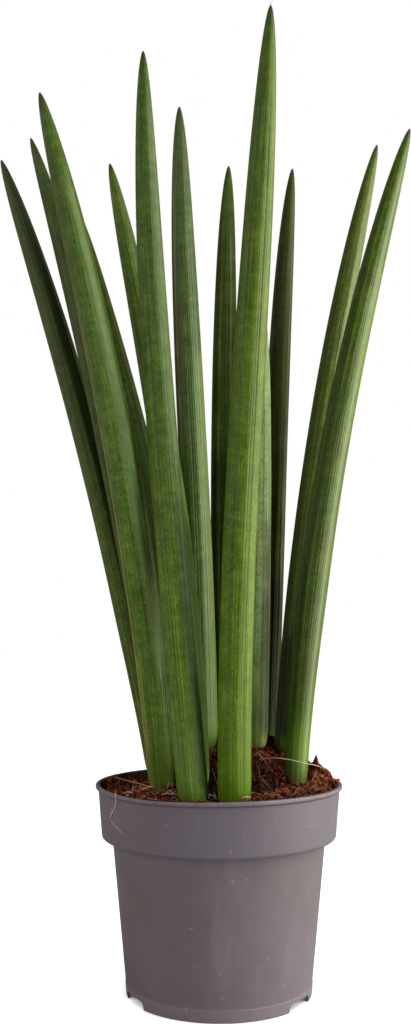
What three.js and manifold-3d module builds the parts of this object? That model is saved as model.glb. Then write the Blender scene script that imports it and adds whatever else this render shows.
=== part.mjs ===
// Cylindrical snake plant in its nursery pot: thirteen round leaves standing in coir.
// Millimetres, +Z up. The origin is on the pot's axis, on the ground under its foot; the front is -Y.
//
// The pot is one thin moulding. The soil fills it and has a plain hole for each leaf. Every leaf is a
// separate spear, rooted by itself: it goes on below the soil and ends there in a healed cut.

import * as THREE from 'three';
import { mergeVertices } from 'three/addons/utils/BufferGeometryUtils.js';
import Module from 'manifold-3d';

const wasm = await Module();
wasm.setup();

// ---------------------------------------------------------------- driving dimensions

const CLEARANCE = 0.35; // between soil and pot, and round each leaf in its hole

// Pot, from the ground up. Radii are of the outside.
const POT_HEIGHT = 114;
const WALL = 1.2;
const FOOT_RADIUS = 51.4; // body wall carried down to the ground
const FOOT_BAND_HEIGHT = 6.2;
const FOOT_BAND_STEP = 0.3; // the foot band stands proud of the body
const FLOOR_LIFT = 8; // underside of the floor
const COLLAR_BOTTOM = 84.4;
const BODY_TOP_RADIUS = 60.1; // at the collar's lower edge
const COLLAR_BOTTOM_RADIUS = 66;
const COLLAR_TOP_RADIUS = 68.6;
const COLLAR_CORNER = 2;
const LIP_RADIUS = 70;
const LIP_BEAD_HEIGHT = 3.2;
const LIP_EDGE_ROUNDING = 0.7;
const POT_SEGMENTS = 60;

// Arched gaps in the foot, and drain holes in the floor. Bearings are degrees from the front.
const FOOT_GAP_BEARINGS = [-62.5, 57.5, 177.5];
const FOOT_GAP_WIDTH = 21;
const FOOT_GAP_HEIGHT = 4.3;
const FOOT_GAP_CORNER = 3;
const FOOT_GAP_CUT = 16; // length of the cut, across the foot wall and past it on both sides
const DRAIN_HOLES = 8;
const DRAIN_HOLE_RADIUS = 4.5;
const DRAIN_HOLE_SIDES = 16;
const DRAIN_CIRCLE_RADIUS = 39;

// Soil: nearly level at the left, heaped in the middle and by the right-hand wall, with a low place
// behind the front of the lip.
const SOIL_LEVEL = 110.5;
const SOIL_HEAPS = [
  { x: 11, y: 28, crown: 22, skirt: 52, height: 19.5 },
  { x: 58, y: 14, crown: 3, skirt: 18, height: 8 },
  { x: 46, y: -8, crown: 6, skirt: 20, height: 2 },
  { x: -6, y: -44, crown: 12, skirt: 30, height: -2.5 },
];
const SOIL_RIM_DIP = 4; // the most that the surface dips by the wall
const SOIL_RELIEF = 1.8; // half height of the lumps
const SOIL_LUMP_SIZE = 9;
const SOIL_LARGE_SHARE = 0.7; // of the relief; the rest is in lumps half that size
const SOIL_SEGMENTS = 64;
const SOIL_RINGS = 15;

// Leaves. All share one outline; each has its own foot, tip, bend and thickness.
const LEAF_BURIED = 40;
const LEAF_SIDES = 24;
const LEAF_RIBS = 12;
const RIB_DEPTH = 0.45;
const RIB_FADE = 0.15; // share of the length, below the tip, over which the ribs die out
const TIP_FULLNESS = 4.5; // how soon the leaf reaches its full thickness below the tip
const TIP_ROUNDNESS = 0.55; // below 1 the tip is a full spearhead instead of a straight cone
const HEEL_HEIGHT = 14; // the rounded heel just above the soil
const FILLING_OUT = 0.3; // share of its length over which a leaf reaches its full thickness
const CHANNEL_DEPTH = 1.4; // one shallow channel up each leaf, deepest at the foot
const CHANNEL_HALF_WIDTH = 0.3; // radians
const LEAF_HOLE_SIDES = 16;

// Ring heights of a leaf: millimetres above the soil round the heel, then fractions of its length.
const HEEL_RINGS = [-LEAF_BURIED, -6, 0, 4, 9, HEEL_HEIGHT];
const BLADE_RINGS = [0.12, 0.26, 0.4, 0.53, 0.65, 0.75, 0.84, 0.91, 0.957, 0.988];

// foot: where the leaf's middle line leaves the soil. curve: how far its middle is carried to the
// right, by a plain bend and by an S-bend. thick: its diameter above the heel and at its fullest.
// heel: its thickness in the soil, as a share of the first. channel: the bearing of its channel,
// degrees round from +X towards +Y.
const LEAVES = [
  { foot: [-36.4, 33], tip: [-127, -20, 474], curve: [9.2, 0], thick: [12.8, 16.8], heel: 0.6, channel: 300 },
  { foot: [-27.5, 12], tip: [-109, -25, 485], curve: [6.4, -1.2], thick: [15, 15.8], heel: 0.6, channel: 20 },
  { foot: [-31, -8], tip: [-96.5, -70, 490], curve: [8.9, 0.4], thick: [17.4, 18.5], heel: 0.42, channel: 176 },
  { foot: [-11, 40], tip: [-94, 75, 479], curve: [6.6, 3.1], thick: [15.4, 16.6], heel: 0.6, channel: 290 },
  { foot: [-12.5, -12], tip: [-68, 25, 491], curve: [9, 0.7], thick: [15.4, 16.4], heel: 0.6, channel: 330 },
  { foot: [-13.5, -36], tip: [-42, -50, 524], curve: [-3.7, 0.7], thick: [17.2, 17.2], heel: 0.88, channel: 80 },
  { foot: [-9, 16], tip: [-24, 15, 523], curve: [0.1, 0.9], thick: [18, 18], heel: 0.45, channel: 195 },
  { foot: [5, 36], tip: [7, 60, 504], curve: [-2.4, 0], thick: [15.8, 16.8], heel: 0.6, channel: 270 },
  { foot: [8.5, -38], tip: [28, -85, 530], curve: [-3.2, -1], thick: [18.2, 18.2], heel: 0.9, channel: 100 },
  { foot: [29, 45], tip: [51, 88, 514], curve: [-2.6, 0.6], thick: [15, 16], heel: 0.6, channel: 345 },
  { foot: [40, 24], tip: [108, 80, 527], curve: [-8.6, -0.1], thick: [15.4, 16.4], heel: 0.6, channel: 200 },
  { foot: [43.5, -3], tip: [124, 45, 522], curve: [-11.8, -0.3], thick: [13.2, 17.6], heel: 0.9, channel: 150 },
  { foot: [22.5, 21], tip: [28, 40, 404], curve: [0.3, -0.1], thick: [13.8, 14.4], heel: 0.6, channel: 350 },
];

const POT_COLOUR = 0x6b6168;
const SOIL_COLOUR = 0x4a2a1c;
const LEAF_COLOURS = [
  0x4c6130, 0x50662f, 0x587339, 0x2f3a1f, 0x56732f, 0x57743c, 0x55703c,
  0x35451f, 0x6f8b37, 0x33401f, 0x4a5f30, 0x526c36, 0x5b7350,
];

// ---------------------------------------------------------------- solids and meshes

// A closed geometry as a solid: position only, shared corners, no collapsed triangles.
function toSolid(geometry) {
  geometry.deleteAttribute('normal');
  geometry.deleteAttribute('uv');
  const merged = mergeVertices(geometry, 1e-4);
  const corners = [];
  for (let i = 0; i < merged.index.count; i += 3) {
    const [a, b, c] = [0, 1, 2].map((k) => merged.index.getX(i + k));
    if (a !== b && b !== c && c !== a) corners.push(a, b, c);
  }
  return new wasm.Manifold(new wasm.Mesh({
    numProp: 3,
    vertProperties: merged.attributes.position.array,
    triVerts: Uint32Array.from(corners),
  }));
}

function toMesh(name, solid, colour, roughness) {
  const { vertProperties, triVerts } = solid.getMesh();
  const geometry = new THREE.BufferGeometry();
  geometry.setAttribute('position', new THREE.BufferAttribute(vertProperties, 3));
  geometry.setIndex(new THREE.BufferAttribute(triVerts, 1));
  geometry.computeVertexNormals();
  const material = new THREE.MeshStandardMaterial({ color: colour, roughness, metalness: 0 });
  const mesh = new THREE.Mesh(geometry, material);
  mesh.name = name;
  return mesh;
}

// A turned geometry standing on +Z, with its seam at the front.
function turned(profile, segments) {
  const outline = profile.map(([radius, height]) => new THREE.Vector2(radius, height));
  return new THREE.LatheGeometry(outline, segments).rotateX(Math.PI / 2);
}

// ---------------------------------------------------------------- pot

function bodyRadius(height) {
  return THREE.MathUtils.mapLinear(height, 0, COLLAR_BOTTOM, FOOT_RADIUS, BODY_TOP_RADIUS);
}

function collarRadius(height) {
  return THREE.MathUtils.mapLinear(
    height, COLLAR_BOTTOM, POT_HEIGHT, COLLAR_BOTTOM_RADIUS, COLLAR_TOP_RADIUS);
}

const FLOOR_TOP = FLOOR_LIFT + WALL;
const LEDGE_TOP = COLLAR_BOTTOM + WALL; // inside, where the collar steps out from the body

function potProfile() {
  const beadBottom = POT_HEIGHT - LIP_BEAD_HEIGHT;
  const corner = [0, 30, 60, 90].map((degrees) => {
    const angle = THREE.MathUtils.degToRad(degrees);
    const centre = collarRadius(COLLAR_BOTTOM + COLLAR_CORNER) - COLLAR_CORNER;
    return [centre + COLLAR_CORNER * Math.sin(angle),
      COLLAR_BOTTOM + COLLAR_CORNER * (1 - Math.cos(angle))];
  });
  return [
    [0, FLOOR_LIFT],
    [bodyRadius(FLOOR_LIFT) - WALL, FLOOR_LIFT],
    [FOOT_RADIUS + FOOT_BAND_STEP - WALL, 0],
    [FOOT_RADIUS + FOOT_BAND_STEP, 0],
    [bodyRadius(FOOT_BAND_HEIGHT) + FOOT_BAND_STEP, FOOT_BAND_HEIGHT],
    [bodyRadius(FOOT_BAND_HEIGHT), FOOT_BAND_HEIGHT + FOOT_BAND_STEP],
    [BODY_TOP_RADIUS, COLLAR_BOTTOM],
    ...corner,
    [collarRadius(beadBottom), beadBottom],
    [LIP_RADIUS - LIP_EDGE_ROUNDING / 2, beadBottom],
    [LIP_RADIUS, beadBottom + LIP_EDGE_ROUNDING],
    [LIP_RADIUS, POT_HEIGHT - LIP_EDGE_ROUNDING],
    [LIP_RADIUS - LIP_EDGE_ROUNDING, POT_HEIGHT],
    [collarRadius(POT_HEIGHT) - WALL + LIP_EDGE_ROUNDING, POT_HEIGHT],
    [collarRadius(POT_HEIGHT) - WALL, POT_HEIGHT - LIP_EDGE_ROUNDING],
    [collarRadius(LEDGE_TOP) - WALL, LEDGE_TOP],
    [bodyRadius(LEDGE_TOP) - WALL, LEDGE_TOP],
    [bodyRadius(FLOOR_TOP) - WALL, FLOOR_TOP],
    [0, FLOOR_TOP],
  ];
}

// The arch that is cut through the foot wall, pushed outwards at a bearing from the front.
function footGap(bearing) {
  const half = FOOT_GAP_WIDTH / 2;
  const spring = FOOT_GAP_HEIGHT - FOOT_GAP_CORNER;
  const arch = new THREE.Shape();
  arch.moveTo(-half, -1);
  arch.lineTo(half, -1);
  arch.lineTo(half, spring);
  arch.absarc(half - FOOT_GAP_CORNER, spring, FOOT_GAP_CORNER, 0, Math.PI / 2);
  arch.absarc(FOOT_GAP_CORNER - half, spring, FOOT_GAP_CORNER, Math.PI / 2, Math.PI);
  const options = { depth: FOOT_GAP_CUT, bevelEnabled: false, curveSegments: 4 };
  const cutter = new THREE.ExtrudeGeometry(arch, options);
  cutter.rotateX(Math.PI / 2);
  cutter.translate(0, FOOT_GAP_CUT / 2 - FOOT_RADIUS, 0);
  cutter.rotateZ(THREE.MathUtils.degToRad(bearing));
  return toSolid(cutter);
}

function drainHole(index) {
  const bearing = ((index + 0.5) / DRAIN_HOLES) * 2 * Math.PI;
  const cutter = new THREE.CylinderGeometry(
    DRAIN_HOLE_RADIUS, DRAIN_HOLE_RADIUS, 4 * WALL, DRAIN_HOLE_SIDES);
  cutter.rotateX(Math.PI / 2);
  cutter.translate(DRAIN_CIRCLE_RADIUS, 0, FLOOR_LIFT + WALL / 2);
  cutter.rotateZ(bearing);
  return toSolid(cutter);
}

function nurseryPot() {
  let pot = toSolid(turned(potProfile(), POT_SEGMENTS));
  for (const bearing of FOOT_GAP_BEARINGS) {
    pot = pot.subtract(footGap(bearing));
  }
  for (let index = 0; index < DRAIN_HOLES; index += 1) {
    pot = pot.subtract(drainHole(index));
  }
  return pot;
}

// ---------------------------------------------------------------- soil surface

// The soil's surface without its lumps: level ground plus heaps with a flat crown and a soft skirt.
function heapedHeight(x, y) {
  return SOIL_HEAPS.reduce((height, heap) => {
    const away = Math.hypot(x - heap.x, y - heap.y);
    return height + heap.height * (1 - THREE.MathUtils.smoothstep(away, heap.crown, heap.skirt));
  }, SOIL_LEVEL);
}

// A steady draw between 0 and 1 for each point of a square grid.
function gridDraw(column, row) {
  const value = Math.sin(column * 127.1 + row * 311.7) * 43758.5453;
  return value - Math.floor(value);
}

// Smooth lumps of one size, between -1 and 1.
function lumps(x, y, size) {
  const column = Math.floor(x / size);
  const row = Math.floor(y / size);
  const across = THREE.MathUtils.smoothstep(x / size - column, 0, 1);
  const along = THREE.MathUtils.smoothstep(y / size - row, 0, 1);
  const near = THREE.MathUtils.lerp(gridDraw(column, row), gridDraw(column + 1, row), across);
  const far = THREE.MathUtils.lerp(gridDraw(column, row + 1), gridDraw(column + 1, row + 1), across);
  return 2 * THREE.MathUtils.lerp(near, far, along) - 1;
}

function soilHeight(x, y) {
  const coarse = lumps(x, y, SOIL_LUMP_SIZE);
  const fine = lumps(x + 50, y - 50, SOIL_LUMP_SIZE / 2);
  return heapedHeight(x, y) + SOIL_RELIEF * THREE.MathUtils.lerp(fine, coarse, SOIL_LARGE_SHARE);
}

// ---------------------------------------------------------------- leaves

// A leaf's middle line: t is 0 at the soil, 1 at the tip and below 0 under the soil.
function leafPoint(leaf, t) {
  const foot = new THREE.Vector3(...leaf.foot, heapedHeight(...leaf.foot));
  const point = foot.lerp(new THREE.Vector3(...leaf.tip), t);
  const [bend, sway] = leaf.curve;
  const plain = 4 * t * (1 - t); // both are 1 where they are largest
  const reversing = 10.4 * t * (1 - t) * (1 - 2 * t);
  point.x += bend * plain + sway * reversing;
  return point;
}

function leafLength(leaf) {
  return leafPoint(leaf, 0).distanceTo(leafPoint(leaf, 1));
}

// Half the thickness at t: a spearhead at the tip, a rounded heel just above the soil.
function leafRadius(leaf, t) {
  const up = THREE.MathUtils.clamp(t, 0, 1);
  const [low, full] = leaf.thick;
  const thick = THREE.MathUtils.lerp(low, full, THREE.MathUtils.smoothstep(up, 0, FILLING_OUT));
  const spear = (1 - up ** TIP_FULLNESS) ** TIP_ROUNDNESS;
  const climb = Math.min(1, (up * leafLength(leaf)) / HEEL_HEIGHT);
  const heel = leaf.heel + (1 - leaf.heel) * Math.sqrt(1 - (1 - climb) ** 2);
  return (thick / 2) * spear * heel;
}

// How much lower the skin lies than that at a bearing: grooves between the ribs, and the channel.
function leafRelief(leaf, t, bearing) {
  const up = THREE.MathUtils.clamp(t, 0, 1);
  const fade = Math.min(1, (1 - up) / RIB_FADE);
  const groove = RIB_DEPTH * 0.5 * (1 - Math.cos(LEAF_RIBS * bearing));
  const channelBearing = THREE.MathUtils.degToRad(leaf.channel);
  const offset = Math.atan2(Math.sin(bearing - channelBearing), Math.cos(bearing - channelBearing));
  const channel = CHANNEL_DEPTH * (1 - up) * Math.exp(-((offset / CHANNEL_HALF_WIDTH) ** 2));
  return fade * groove + channel;
}

// A ring of points round the line at t. radiusAt gives the distance from the line at a bearing.
function leafRing(leaf, t, sides, radiusAt) {
  const centre = leafPoint(leaf, t);
  const upward = leafPoint(leaf, t + 0.01).sub(leafPoint(leaf, t - 0.01)).normalize();
  const right = new THREE.Vector3(0, 1, 0).cross(upward).normalize();
  const back = upward.clone().cross(right);
  return Array.from({ length: sides }, (_, i) => {
    const bearing = (i / sides) * 2 * Math.PI;
    const reach = radiusAt(bearing);
    return centre.clone()
      .addScaledVector(right, reach * Math.cos(bearing))
      .addScaledVector(back, reach * Math.sin(bearing));
  });
}

// One closed skin over a stack of rings, with a point under the first and one over the last.
function ringStack(rings, bottom, top) {
  const sides = rings[0].length;
  const points = [...rings.flat(), bottom, top];
  const bottomIndex = points.length - 2;
  const topIndex = points.length - 1;
  const corners = [];
  for (let i = 0; i < sides; i += 1) {
    const next = (i + 1) % sides;
    const last = (rings.length - 1) * sides;
    corners.push(bottomIndex, next, i, last + i, last + next, topIndex);
    for (let level = 0; level < rings.length - 1; level += 1) {
      const low = level * sides;
      const high = low + sides;
      corners.push(low + i, low + next, high + next, low + i, high + next, high + i);
    }
  }
  const geometry = new THREE.BufferGeometry().setFromPoints(points);
  geometry.setIndex(corners);
  return geometry;
}

function leafSolid(leaf) {
  const length = leafLength(leaf);
  const stations = [...HEEL_RINGS.map((height) => height / length), ...BLADE_RINGS];
  const rings = stations.map((t) => {
    const radius = leafRadius(leaf, t);
    const share = radius / (leaf.thick[1] / 2);
    return leafRing(leaf, t, LEAF_SIDES, (bearing) => radius - share * leafRelief(leaf, t, bearing));
  });
  return toSolid(ringStack(rings, leafPoint(leaf, stations[0]), leafPoint(leaf, 1)));
}

// The plain round hole that a leaf stands in, open upwards.
function leafHole(leaf) {
  const length = leafLength(leaf);
  const heights = [...HEEL_RINGS, 3 * HEEL_HEIGHT];
  heights[0] -= CLEARANCE;
  const rings = heights.map((height) => {
    const t = height / length;
    const reach = (leafRadius(leaf, t) + CLEARANCE) / Math.cos(Math.PI / LEAF_HOLE_SIDES);
    return leafRing(leaf, t, LEAF_HOLE_SIDES, () => reach);
  });
  const last = heights.length - 1;
  return toSolid(ringStack(rings, leafPoint(leaf, heights[0] / length),
    leafPoint(leaf, heights[last] / length)));
}

// ---------------------------------------------------------------- soil

function pottingSoil() {
  const inside = WALL + CLEARANCE;
  const rim = collarRadius(SOIL_LEVEL - SOIL_RIM_DIP) - inside;
  const sides = [
    [0, FLOOR_TOP + CLEARANCE],
    [bodyRadius(FLOOR_TOP) - inside, FLOOR_TOP + CLEARANCE],
    [bodyRadius(LEDGE_TOP) - inside, LEDGE_TOP + CLEARANCE],
    [collarRadius(LEDGE_TOP) - inside, LEDGE_TOP + CLEARANCE],
  ];
  const surface = Array.from({ length: SOIL_RINGS + 1 }, (_, ring) => (
    [rim * (1 - ring / SOIL_RINGS), SOIL_LEVEL]));
  const geometry = turned([...sides, ...surface], SOIL_SEGMENTS);
  const { position } = geometry.attributes;
  const stride = sides.length + surface.length;
  for (let i = 0; i < position.count; i += 1) {
    if (i % stride >= sides.length) {
      position.setZ(i, soilHeight(position.getX(i), position.getY(i)));
    }
  }
  return LEAVES.reduce((soil, leaf) => soil.subtract(leafHole(leaf)), toSolid(geometry));
}

// ---------------------------------------------------------------- assembly

const plant = new THREE.Group();
plant.add(toMesh('nursery_pot', nurseryPot(), POT_COLOUR, 0.6));
plant.add(toMesh('potting_soil', pottingSoil(), SOIL_COLOUR, 1));
LEAVES.forEach((leaf, index) => {
  const name = `leaf_${String(index + 1).padStart(2, '0')}`;
  plant.add(toMesh(name, leafSolid(leaf), LEAF_COLOURS[index], 0.5));
});

export default plant;
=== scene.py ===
import math
import random

import bmesh
import bpy
from mathutils import Matrix, Vector, noise


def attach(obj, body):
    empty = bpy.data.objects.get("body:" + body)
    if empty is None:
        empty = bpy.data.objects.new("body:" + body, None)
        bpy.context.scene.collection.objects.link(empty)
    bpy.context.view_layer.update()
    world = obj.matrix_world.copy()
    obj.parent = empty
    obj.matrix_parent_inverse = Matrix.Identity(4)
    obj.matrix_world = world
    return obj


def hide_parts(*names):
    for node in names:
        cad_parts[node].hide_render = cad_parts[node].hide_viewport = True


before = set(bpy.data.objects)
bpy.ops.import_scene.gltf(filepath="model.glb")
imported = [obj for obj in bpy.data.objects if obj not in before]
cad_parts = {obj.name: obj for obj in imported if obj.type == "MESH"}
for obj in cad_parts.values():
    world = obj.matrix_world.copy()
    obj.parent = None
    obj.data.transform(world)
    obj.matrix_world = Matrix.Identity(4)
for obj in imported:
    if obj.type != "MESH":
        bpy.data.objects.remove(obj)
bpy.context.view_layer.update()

# ---- Camera -----------------------------------------------------------------
# It stands 0.63 m in front of the pot, at the height of the leaves' lower third, and tips up a
# little so that the foot of the pot and the leaf points both fit. No shift, no depth of field.

CAMERA_AWAY = 0.6337
CAMERA_HEIGHT = 0.2058
CAMERA_TIPS_UP = 5.661  # degrees
CAMERA_TURNS_LEFT = 0.683  # degrees
SENSOR = 36  # millimetres
IMAGE_HEIGHT = 1024  # pixels
FOCAL_LENGTH = 1090.9  # pixels

camera = bpy.data.objects.new("camera", bpy.data.cameras.new("camera"))
camera.location = (0, -CAMERA_AWAY, CAMERA_HEIGHT)
camera.rotation_euler = (math.radians(90 + CAMERA_TIPS_UP), 0, math.radians(CAMERA_TURNS_LEFT))
camera.data.sensor_width = SENSOR
camera.data.lens = SENSOR * FOCAL_LENGTH / IMAGE_HEIGHT
camera.data.clip_start = 0.01
bpy.context.scene.collection.objects.link(camera)
bpy.context.scene.camera = camera

# ---- Nursery pot ------------------------------------------------------------
# One thin shell of matt taupe polypropylene, moulded in one shot: a round bead at the lip, a
# straight collar with a step under it, a body that tapers down to a foot ring with three arched
# gaps, and a raised floor with drain holes. It is handled, dusty and scuffed.

POT_STEPS = 180
POT_WALL = 0.0012
FOOT_RADIUS = 0.0514
FOOT_BAND = 0.0062  # height of the band round the foot, which stands a little proud
FLOOR_UNDER = 0.008
FLOOR_TOP = FLOOR_UNDER + POT_WALL
BODY_TOP_RADIUS = 0.0601
STEP_HEIGHT = 0.0844  # of the collar's lower edge
STEP_INSIDE = STEP_HEIGHT + POT_WALL
COLLAR_RADIUS = 0.066  # at its lower edge
COLLAR_FLARE = 0.0026 / 0.0296  # what it widens as it rises
LIP_RADIUS = 0.07
LIP_HEIGHT = 0.114
FOOT_GAP_WIDTH = 0.021
FOOT_GAP_HEIGHT = 0.0043
FOOT_GAP_CORNER = 0.003
FOOT_GAP_BEARING = -62.5  # degrees from the front; the other two are a third of a turn on
FOOT_GAP_CUT = 0.016  # how far the cut goes across the foot's wall and past it
DRAIN_HOLES = 8
DRAIN_RADIUS = 0.0045
DRAIN_CIRCLE = 0.039
LIP_SPRUNG = 0.00018  # out of round
LIP_SAG = 0.0011
LIP_SAG_BEARING = 238  # degrees from the right
TINY = 1e-6  # places closer than this are one place


def body_radius(height):
    return FOOT_RADIUS + (BODY_TOP_RADIUS - FOOT_RADIUS) * height / STEP_HEIGHT


def collar_radius(height):
    return COLLAR_RADIUS + COLLAR_FLARE * (height - STEP_HEIGHT)


# Radius, height and edge rounding of each corner: out under the floor, up, over the lip, and down
# inside.
POT_OUTLINE = [
    (0, FLOOR_UNDER, 0),
    (body_radius(FLOOR_UNDER) - POT_WALL, FLOOR_UNDER, 0),
    (FOOT_RADIUS - 0.0009, 0, 0.0002),
    (FOOT_RADIUS + 0.0003, 0, 0.0004),
    (body_radius(FOOT_BAND) + 0.0003, FOOT_BAND, 0.0001),
    (body_radius(FOOT_BAND + 0.0003), FOOT_BAND + 0.0003, 0),
    (BODY_TOP_RADIUS, STEP_HEIGHT, 0.0003),
    (COLLAR_RADIUS, STEP_HEIGHT, 0.0019),
    (collar_radius(0.1111), 0.1111, 0.0003),
    (LIP_RADIUS - 0.0001, 0.1121, 0.0004),
    (LIP_RADIUS, LIP_HEIGHT, 0.0008),
    (collar_radius(LIP_HEIGHT) - POT_WALL, LIP_HEIGHT, 0.0008),
    (collar_radius(STEP_INSIDE) - POT_WALL, STEP_INSIDE, 0),
    (body_radius(STEP_INSIDE) - POT_WALL, STEP_INSIDE, 0),
    (body_radius(FLOOR_TOP) - POT_WALL, FLOOR_TOP, 0),
    (0, FLOOR_TOP, 0),
]


def swung(shape, geom, angle, steps, copies=False):
    """Swings geometry about the axis, and leaves a skin or separate copies behind it."""
    bmesh.ops.spin(shape, geom=geom, cent=(0, 0, 0), axis=(0, 0, 1), dvec=(0, 0, 0), angle=angle,
                   steps=steps, use_merge=not copies, use_duplicate=copies)


def spun(profile, steps, near=TINY):
    """Spins a profile of points once about the axis, and closes it on its two poles."""
    shape = bmesh.new()
    corners = [shape.verts.new((radius, 0, height)) for radius, height in profile]
    for low, high in zip(corners, corners[1:]):
        shape.edges.new((low, high))
    swung(shape, shape.verts[:] + shape.edges[:], math.tau, steps)
    bmesh.ops.remove_doubles(shape, verts=shape.verts[:], dist=near)
    return shape


def bevelled(shape, edges, radius, segments):
    bmesh.ops.bevel(
        shape, geom=edges, offset=radius, offset_type="OFFSET", segments=segments, profile=0.5,
        affect="EDGES", material=-1)


def turned(outline, steps):
    """Spins an outline of corners about the axis and rounds its edges."""
    shell = spun([(radius, height) for radius, height, _ in outline], steps)
    bmesh.ops.recalc_face_normals(shell, faces=shell.faces[:])
    for radius, height, rounding in outline:
        if rounding:
            hoop = [edge for edge in shell.edges if all(
                abs(corner.co.xy.length - radius) < TINY and abs(corner.co.z - height) < TINY
                for corner in edge.verts)]
            bevelled(shell, hoop, rounding, 4)
    return shell


def piece(name, shape, *finishes):
    """Makes a smooth shaded object of a finished bmesh, with its material."""
    mesh = bpy.data.meshes.new(name)
    shape.to_mesh(mesh)
    shape.free()
    mesh.shade_smooth()
    for finish in finishes:
        mesh.materials.append(finish)
    made = bpy.data.objects.new(name, mesh)
    bpy.context.scene.collection.objects.link(made)
    return made


def about_axis(degrees):
    return Matrix.Rotation(math.radians(degrees), 4, "Z")


def pot_cutters():
    """Arched blocks that go through the foot ring, and rods that go through the floor."""
    cutters = bmesh.new()
    bmesh.ops.create_cube(cutters, size=1)
    sides = (FOOT_GAP_WIDTH, FOOT_GAP_CUT, 2 * FOOT_GAP_HEIGHT)
    bmesh.ops.scale(cutters, vec=sides, verts=cutters.verts[:])
    upper = [edge for edge in cutters.edges if all(corner.co.z > 0 for corner in edge.verts)
             and abs(edge.verts[0].co.x - edge.verts[1].co.x) < TINY]
    bevelled(cutters, upper, FOOT_GAP_CORNER, 8)
    place = about_axis(FOOT_GAP_BEARING) @ Matrix.Translation((0, -FOOT_RADIUS, 0))
    bmesh.ops.transform(cutters, matrix=place, verts=cutters.verts[:])
    swung(cutters, cutters.faces[:], math.tau * 2 / 3, 2, copies=True)
    arches, others = len(cutters.faces), DRAIN_HOLES - 1
    place = about_axis(180 / DRAIN_HOLES) @ Matrix.Translation(
        (DRAIN_CIRCLE, 0, (FLOOR_UNDER + FLOOR_TOP) / 2))
    bmesh.ops.create_cone(
        cutters, cap_ends=True, segments=24, radius1=DRAIN_RADIUS, radius2=DRAIN_RADIUS,
        depth=5 * POT_WALL, matrix=place)
    cutters.faces.ensure_lookup_table()
    rod = cutters.faces[arches:]
    swung(cutters, rod, math.tau * others / DRAIN_HOLES, others, copies=True)
    bmesh.ops.recalc_face_normals(cutters, faces=cutters.faces[:])
    return cutters


def node(kind, feeds, tree=None, **settings):
    """Adds a shader node. A feed is a value, or an output to wire the socket to. Without a tree,
    the node goes into the one that its wires come from."""
    if tree is None:
        wires = (feed for feed in feeds.values() if isinstance(feed, bpy.types.NodeSocket))
        tree = next(wires).id_data
    made = tree.nodes.new("ShaderNode" + kind)
    for name, value in settings.items():
        setattr(made, name, value)
    for socket, feed in feeds.items():
        if isinstance(feed, bpy.types.NodeSocket):
            tree.links.new(feed, made.inputs[socket])
        else:
            made.inputs[socket].default_value = feed
    return made


def maths(operation, *terms):
    return node("Math", dict(enumerate(terms)), operation=operation).outputs[0]


def times(first, second):
    return maths("MULTIPLY", first, second)


def vectors(operation, *terms):
    made = node("VectorMath", dict(enumerate(terms)), operation=operation)
    return made.outputs["Value" if operation in ("LENGTH", "DOT_PRODUCT") else "Vector"]


def graded(value, start, end, low=0.0, high=1.0):
    """Goes smoothly from low to high while value goes from start to end."""
    feeds = {"Value": value, "From Min": start, "From Max": end, "To Min": low, "To Max": high}
    return node("MapRange", feeds, interpolation_type="SMOOTHSTEP").outputs["Result"]


def paint(code):
    """The light that a paint returns, from its code of six figures. Any other value, such as an
    output that gives a colour, stays as it is."""
    if not isinstance(code, str):
        return code
    parts = [int(code[i:i + 2], 16) / 255 for i in (0, 2, 4)]
    return [p / 12.92 if p <= 0.04045 else ((p + 0.055) / 1.055) ** 2.4 for p in parts] + [1]


def blended(share, first, second):
    return node("Mix", {0: share, 6: paint(first), 7: paint(second)}, data_type="RGBA").outputs[2]


def layered(colour, *layers):
    """Lays tones over a colour in turn, each where its mask and as thick as its strength says."""
    for mask, strength, tone in layers:
        colour = blended(times(mask, strength), colour, tone)
    return colour


def cloudy(where, scale, detail=3.0, rough=0.5):
    feeds = {"Vector": where, "Scale": scale, "Detail": detail, "Roughness": rough}
    return node("TexNoise", feeds).outputs[0]


def swayed(value, cloud, reach):
    """Moves a value up and down by a cloud, so that an edge drawn from it runs uneven."""
    return maths("MULTIPLY_ADD", maths("SUBTRACT", cloud, 0.5), reach, value)


def effect(name, takes, gives={"Float": ["Mask"]}):
    """A shader node group for several materials, with named inputs and outputs of each kind."""
    tree = bpy.data.node_groups.new(name, "ShaderNodeTree")
    for way, kinds in (("INPUT", takes), ("OUTPUT", gives)):
        for kind, labels in kinds.items():
            for label in labels:
                tree.interface.new_socket(label, in_out=way, socket_type="NodeSocket" + kind)
    took, gave = tree.nodes.new("NodeGroupInput"), tree.nodes.new("NodeGroupOutput")
    return tree, took.outputs, gave.inputs


def placed(group, feeds):
    """Puts an effect into a material, with its own values."""
    return node("Group", feeds, node_tree=group).outputs


def mark_effect():
    """One mark with a ragged edge, round a place on the surface."""
    tree, took, gave = effect(
        "Placed mark", {"Vector": ["Where", "Centre", "Size"], "Float": ["Ragged"]})
    away = vectors("SUBTRACT", took["Where"], took["Centre"])
    away = vectors("LENGTH", vectors("DIVIDE", away, took["Size"]))
    cloud = cloudy(took["Where"], 1500, 2)
    reach = swayed(away, cloud, times(took["Ragged"], 4))
    tree.links.new(graded(reach, 1.1, 0.6), gave["Mask"])
    return tree


def speck_effect():
    """Specks thrown over the surface: one in each cell of a spacing, in a share of the cells."""
    tree, took, gave = effect(
        "Scattered specks", {"Vector": ["Where"], "Float": ["Cells", "Size", "Share"]})
    cells = node("TexVoronoi", {"Vector": took["Where"], "Scale": took["Cells"]})
    lot = node("SeparateColor", {"Color": cells.outputs["Color"]}).outputs
    size = times(took["Size"], graded(lot[1], 0, 1, 0.35, 1))
    spot = graded(cells.outputs["Distance"], size, times(size, 0.5))
    chosen = maths("LESS_THAN", lot[0], took["Share"])
    tree.links.new(times(spot, chosen), gave["Mask"])
    return tree


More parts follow.
